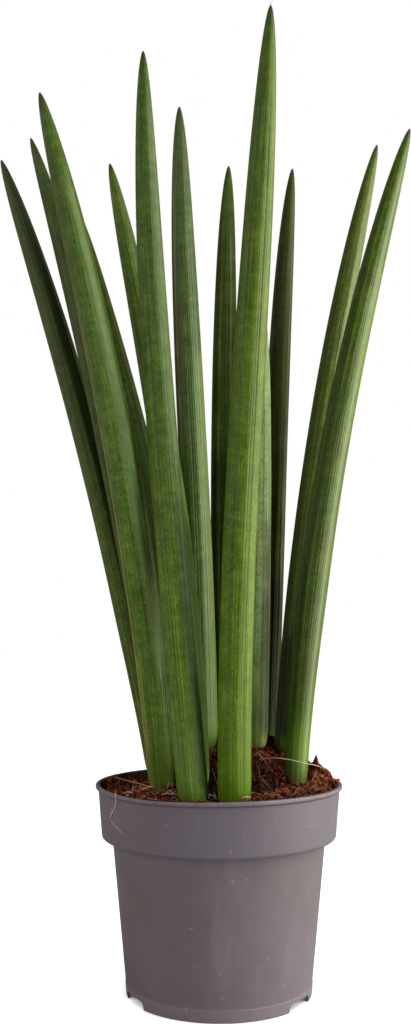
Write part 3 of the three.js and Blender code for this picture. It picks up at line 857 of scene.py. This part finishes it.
def strewn(name, finish, shape, put, count):
    """Copies one small shape. put(i) gives the way to carry a copy's points, and its tint."""
    single = bpy.data.meshes.new("single")
    shape.to_mesh(single)
    shape.free()
    shape = bmesh.new()
    shape.from_mesh(single)
    stride = len(shape.verts)
    while len(shape.verts) < stride * count:
        bmesh.ops.duplicate(shape, geom=shape.verts[:] + shape.edges[:] + shape.faces[:])
    shape.verts.ensure_lookup_table()
    bmesh.ops.delete(shape, geom=shape.verts[stride * count:], context="VERTS")
    tint_layer = shape.verts.layers.float.new("tint")
    shape.verts.ensure_lookup_table()
    for i in range(count):
        carry, tint = put(i)
        for corner in shape.verts[i * stride:(i + 1) * stride]:
            corner.co = carry(corner.co.copy())
            corner[tint_layer] = tint
    bmesh.ops.recalc_face_normals(shape, faces=shape.faces[:])
    made = piece(name, shape, finish)
    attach(made, "root")


def ball(subdivisions):
    shape = bmesh.new()
    bmesh.ops.create_icosphere(shape, subdivisions=subdivisions, radius=1)
    return shape


def knobbly(middle, size, seed, form=Matrix.Identity(3), bumps=1.9, depth=0.45):
    """Carries a ball's points onto a crumb, which is uneven and has its own form."""
    def carry(point):
        uneven = 1 + depth * noise.noise(point * bumps + Vector(seed))
        return middle + form @ point * uneven * size
    return carry


def free_place(margin):
    """A place on the bed that no leaf stands on."""
    while True:
        reach, turn = (SOIL_RIM - margin) * math.sqrt(draws.random()), draws.uniform(0, math.tau)
        x, y = reach * math.cos(turn), reach * math.sin(turn)
        if all(math.hypot(x - foot[0] / 1000, y - foot[1] / 1000)
               > thick[0] / 2000 * max(0.5, heel) for foot, _, _, thick, heel, *_ in LEAVES):
            return x, y


def coir_tint(x, y, middle, spread, most):
    """A crumb's tint at a place, paler where the bed's tint is paler, and darker as painted shade
    on the low ground between the leaves.
    """
    return min(most, max(0, draws.gauss(middle, spread) + heaped(x, y, SOIL_PALE_AND_PAINTED_SHADE, 0)))


def crumb_put(small, large, lift):
    def put(i):
        x, y = free_place(0.0006)
        size = small + (large - small) * draws.random() ** 2.2
        turn = Matrix.Rotation(draws.uniform(0, math.tau), 3, Vector(
            [draws.uniform(-1, 1) for _ in range(3)]).normalized())
        form = turn @ Matrix.Diagonal([
            draws.uniform(least, most) for least, most in ((0.6, 1.25), (0.6, 1.25), (0.5, 0.9))])
        middle = Vector((x, y, soil_top(x, y) + size * lift))
        return knobbly(middle, size, (i * 3.1, 0, 0), form), coir_tint(x, y, 0.38, 0.26, 0.93)
    return put


def foot_put(i):
    """Crumbs pushed up against the leaves' feet."""
    foot, _, _, thick, heel, *_ = LEAVES[i % len(LEAVES)]
    turn, size = draws.uniform(0, math.tau), draws.uniform(0.0005, 0.0013)
    reach = thick[0] / 2000 * heel + draws.uniform(0, 0.0012)
    x, y = foot[0] / 1000 + reach * math.cos(turn), foot[1] / 1000 + reach * math.sin(turn)
    middle = Vector((x, y, soil_top(x, y) + draws.uniform(0, 0.0016)))
    return knobbly(middle, size, (i * 2.3, 9, 0)), coir_tint(x, y, 0.4, 0.25, 0.9)


def chip_blank():
    """A flat block, two units long, cut across twice so that it can curl."""
    chip = bmesh.new()
    bmesh.ops.create_cube(chip, size=2)
    long_edges = [edge for edge in chip.edges if abs(edge.verts[0].co.x - edge.verts[1].co.x) > 1]
    bmesh.ops.subdivide_edges(chip, edges=long_edges, cuts=2)
    return chip


def chip_put(i):
    x, y = free_place(0.002)
    long, wide = draws.uniform(0.0014, 0.004), draws.uniform(0.0005, 0.0011)
    thin = draws.uniform(0.0002, 0.0005)
    turn = Matrix.Rotation(draws.uniform(0, math.tau), 3, "Z")
    turn = turn @ Matrix.Rotation(draws.gauss(0, 0.35), 3, "Y")
    turn = turn @ Matrix.Rotation(draws.gauss(0, 0.5), 3, "X")
    middle = Vector((x, y, soil_top(x, y) + 0.0006))
    curl, skew = draws.uniform(-0.3, 0.3), draws.uniform(-0.4, 0.4)

    def carry(point):
        across = (point.y + skew * point.x) * wide / 2 * (1 - 0.4 * abs(point.x))
        up = point.z * thin + curl * long * (point.x ** 2 - 0.5) * 0.5
        return middle + turn @ Vector((point.x * long / 2, across, up))
    return carry, draws.choice([0.15, 0.3, 0.5, 0.7, 0.8, 0.92])


def fibre_blank(rings):
    """A thin straight tube, one unit long and one in radius, closed at both ends."""
    profile = [(0, 0)] + [(1, i / rings) for i in range(rings + 1)] + [(0, 1)]
    return spun(profile, 4, near=10 * TINY)


def along_path(path, thick):
    """Carries a straight tube onto a path of points, tapered towards both ends."""
    last = len(path) - 1

    def carry(point):
        place = point.z * last
        step = min(int(place), last - 1)
        middle = path[step].lerp(path[step + 1], place - step)
        ahead = (path[min(step + 2, last)] - path[max(step - 1, 0)]).normalized()
        right = ahead.cross(Vector((0.13, 0.31, 0.94))).normalized()
        full = math.sin(math.pi * min(1, max(0, point.z * 0.9 + 0.05))) ** 0.5
        radius = thick * (0.35 + 0.65 * full)
        return middle + radius * (point.x * right + point.y * ahead.cross(right))
    return carry


def fibre_put(long_low, long_high, rise):
    def put(i):
        x, y = free_place(0.003)
        long, turn = draws.uniform(long_low, long_high), draws.uniform(0, math.tau)
        bend, arch = draws.gauss(0, 0.9), min(0.003, abs(draws.gauss(0, rise)))
        path = []
        for k in range(11):
            share = k / 10 - 0.5
            heading = turn + bend * share
            px, py = x + long * share * math.cos(heading), y + long * share * math.sin(heading)
            kept_in = min(1, (SOIL_RIM - 0.0006) / math.hypot(px, py))
            px, py = px * kept_in, py * kept_in
            lifted = 0.0004 + arch * (1 - 4 * share * share)
            path.append(Vector((px, py, soil_top(px, py) + lifted)))
        thick = draws.uniform(0.00004, 0.00009)
        return along_path(path, thick), draws.choice([0, 0.05, 0.1, 0.2, 0.3, 0.7])
    return put


def dry_fibre():
    made, tree, shader, _ = material("dry coir fibre")
    colour = ramped(carried(tree, "tint"), "5a2c1a", "efe4d4", [(0.5, "d0875f")])
    tree.links.new(colour, shader.inputs["Base Color"])
    shader.inputs["Roughness"].default_value = 0.7
    shader.inputs["Specular IOR Level"].default_value = 0.2
    return made


# Clods heaped by hand, on the mound at the right, on the lip there and at the left: place and
# size in millimetres, and tint.
PERCHED_CLODS = [
    (55.8, 2, 128.7, 0.45, 0.55), (55.7, 2, 127.6, 0.85, 0.5), (55.6, 2, 126.2, 1.3, 0.55),
    (55.6, 2, 124.6, 1.75, 0.5), (55.5, 2.2, 122.9, 2.1, 0.5), (57.8, 1.5, 121.9, 1.6, 0.6),
    (53.2, 3, 122, 1.7, 0.45), (60, 1, 119.8, 1.3, 0.6), (62.4, 2, 117.7, 1.2, 0.65),
    (64.6, -4, 115.4, 1.1, 0.75), (66.4, -2, 115.2, 1, 0.8), (67.9, 1, 115.1, 0.8, 0.75),
    (68.9, 5, 114.7, 0.7, 0.7), (66.6, -9, 114.6, 0.9, 0.65), (65, -15, 114.2, 0.8, 0.7),
    (63.5, 6, 116.6, 1.3, 0.5), (60.5, -20, 113.6, 0.8, 0.7), (57, -26, 113.4, 0.7, 0.6),
    (-63.6, 8, 114.6, 1.3, 0.75), (-61.8, 6, 114.8, 1.4, 0.7), (-65.2, 11, 114.2, 1, 0.7),
    (-62.5, 3, 114, 1.1, 0.75), (-60, -12, 112.8, 0.9, 0.8), (-56, -30, 112.8, 0.8, 0.85),
    (-49, -40, 112.8, 0.7, 0.9), (-41, -47, 112.6, 0.8, 0.85), (-33, -52, 112.6, 0.6, 0.9),
    (14.5, -47.5, 112.6, 0.7, 0.97), (16.2, -48.4, 112.4, 0.6, 0.9),
    (17.6, -47.2, 112.5, 0.8, 0.5),
]


def perched_put(i):
    x, y, z, size, tint = PERCHED_CLODS[i]
    middle = Vector((x, y, z)) / 1000
    return knobbly(middle, size / 1000, (i * 3.7, 5, 0), bumps=1.7, depth=0.5), tint


# Sticks and springy fibres that stand out from the rest, two of them over the lip and one dry
# thread on the tallest leaf's point: each is a path of points, a radius (all in millimetres) and
# a tint.
STRAY_FIBRES = [
    ([(22, 4, 126), (26.1, -6, 127.9), (32.6, -12, 129), (39.5, -14, 128.3), (49.2, -14, 126.2),
      (54.2, -8, 124.6), (58.7, 0, 122.3)], 0.2, 0.95),
    ([(-61.5, 22, 113.6), (-53.3, 10, 113.4), (-45.9, -1, 113.3), (-38, -11, 113)], 0.36, 0.55),
    ([(-44.6, -30, 112.6), (-41.5, -27, 113.9), (-38.4, -25, 114.8)], 0.75, 0.52),
    ([(-43, -25, 113), (-39.5, -24, 114.4), (-36.4, -20, 114.4)], 0.55, 0.5),
    ([(-52, -33, 112.6), (-49, -36, 113.8), (-46, -38, 113.6)], 0.5, 0.45),
    ([(-54.5, -38, 112), (-54.9, -42, 114.2), (-54.9, -44.2, 113), (-54.6, -43.2, 110.9),
      (-55.1, -40.7, 107.8), (-56.6, -38, 104.2), (-58.5, -34.2, 99.9), (-56, -37.9, 97.4),
      (-50.6, -44.4, 93.4)], 0.17, 1.0),
    ([(-58.4, -33.9, 100.6), (-58.3, -34.4, 103), (-57.4, -36.4, 105.6)], 0.1, 1.0),
    ([(-31, -36, 112.6), (-27.5, -38, 113.6), (-24.5, -39, 113)], 0.3, 0.7),
    ([(-29, -33, 112.6), (-26.5, -35, 114.6), (-25, -37, 113.8), (-22, -38, 112.6)], 0.22, 0.8),
    ([(27.6, -85, 528.6), (27.8, -85, 530.5), (28.9, -85, 532)], 0.2, 0.4),
    ([(-2.8, -47, 111.6), (-1.9, -49, 113.9), (-2.6, -51, 116.4)], 0.08, 0.85),
    ([(-5, -46, 111.6), (-5.2, -49, 113.4), (-4.1, -50, 115.4)], 0.08, 0.8),
    ([(-1.4, -46, 111.6), (-1.8, -49, 113.2), (-3.4, -50, 114.4), (-5.4, -48, 114.8)], 0.08, 0.8),
    ([(12, -48.6, 112.7), (14, -49, 113.5), (16.8, -48.7, 113.3)], 0.26, 0.9),
]


def stray_put(i):
    """A smooth curve through a stray fibre's points."""
    points, thick, tint = STRAY_FIBRES[i]
    knots = [Vector(point) / 1000 for point in points]
    befores, afters, path = knots[:1] + knots[:-2], knots[2:] + knots[-1:], []
    for low, high, before, after in zip(knots, knots[1:], befores, afters):
        for t in (0, 0.25, 0.5, 0.75):
            square = (2 * before - 5 * low + 4 * high - after) * t * t
            cube = (3 * low - before - 3 * high + after) * t ** 3
            path.append(0.5 * (2 * low + (high - before) * t + square + cube))
    return along_path(path + knots[-1:], thick / 1000), tint


loose_coir, fibre = coir("loose coir", True), dry_fibre()
strewn("soil_crumbs", loose_coir, ball(1), crumb_put(0.00028, 0.0011, 0.25), count=5600)
strewn("soil_clods", loose_coir, ball(2), crumb_put(0.001, 0.0024, 0.3), count=190)
strewn("foot_crumbs", loose_coir, ball(1), foot_put, count=700)
strewn("bark_chips", loose_coir, chip_blank(), chip_put, count=120)
strewn("coir_fibres", fibre, fibre_blank(10), fibre_put(0.006, 0.02, rise=0.0014), count=420)
strewn("coir_fluff", fibre, fibre_blank(10), fibre_put(0.003, 0.008, rise=0.002), count=1200)
strewn("perched_clods", loose_coir, ball(2), perched_put, len(PERCHED_CLODS))
strewn("stray_fibres", fibre, fibre_blank(28), stray_put, len(STRAY_FIBRES))

# ---- Stage ------------------------------------------------------------------
# A plain white sweep under even white light. A wide soft lamp and a narrow cool one stand close
# by on the right, a weak wide one at the left front, and a low warm one on the left.


def lamp(name, bearing, elevation, away, wide, tall, power, tint):
    """A soft box that faces the plant's middle. Bearing 0 is the camera's side, 90 the right."""
    light = bpy.data.lights.new(name, "AREA")
    light.shape, light.size, light.size_y, light.energy = "RECTANGLE", wide, tall, power
    light.color = tint
    made = bpy.data.objects.new(name, light)
    turn, rise = math.radians(bearing), math.radians(elevation)
    out = Vector((math.sin(turn) * math.cos(rise), -math.cos(turn) * math.cos(rise),
                  math.sin(rise)))
    made.location = Vector((0, 0, 0.26)) + away * out
    made.rotation_euler = out.to_track_quat("Z", "Y").to_euler()
    bpy.context.scene.collection.objects.link(made)


def white_sweep():
    """White to the camera, but for a faint contact shadow close round the foot of the pot."""
    made, tree, shader, _ = material("white sweep")
    shader.inputs["Base Color"].default_value = (0.55, 0.55, 0.55, 1)
    shader.inputs["Roughness"].default_value = 0.8
    shader.inputs["Specular IOR Level"].default_value = 0.1
    shader.inputs["Emission Color"].default_value = (1, 1, 1, 1)
    seen = node("LightPath", {}, tree).outputs["Is Camera Ray"]
    open_sky = node("AmbientOcclusion", {"Distance": 0.014}, tree, samples=8).outputs["AO"]
    glow = times(seen, graded(open_sky, 0.1, 0.75))
    tree.links.new(glow, shader.inputs["Emission Strength"])
    return made


lamp("key lamp", 84, 12, 0.8, 0.7, 1.0, 11.6, (1, 0.96, 0.84))
lamp("strip lamp", 54, 14, 0.85, 0.16, 1.0, 3.0, (0.81, 0.87, 1))
lamp("fill lamp", -48, 15, 1.6, 1.5, 1.3, 8.8, (1, 0.93, 0.92))
lamp("rim lamp", -104, 12, 1.4, 0.5, 1.0, 2.2, (1, 0.84, 0.72))

ground = bmesh.new()
bmesh.ops.create_circle(ground, cap_ends=True, segments=96, radius=6)
bmesh.ops.translate(ground, vec=(0, 0, -0.0001), verts=ground.verts[:])
floor = piece("floor", ground, white_sweep())

world = bpy.data.worlds.new("studio")
world.use_nodes = True
bpy.context.scene.world = world
backdrop = world.node_tree.nodes["Background"]
backdrop.inputs["Strength"].default_value = 1
seen = node("LightPath", {}, world.node_tree).outputs["Is Camera Ray"]
sky = blended(seen, (0.205, 0.192, 0.19, 1), (1, 1, 1, 1))
world.node_tree.links.new(sky, backdrop.inputs["Color"])
bpy.context.scene.view_settings.view_transform = "Standard"
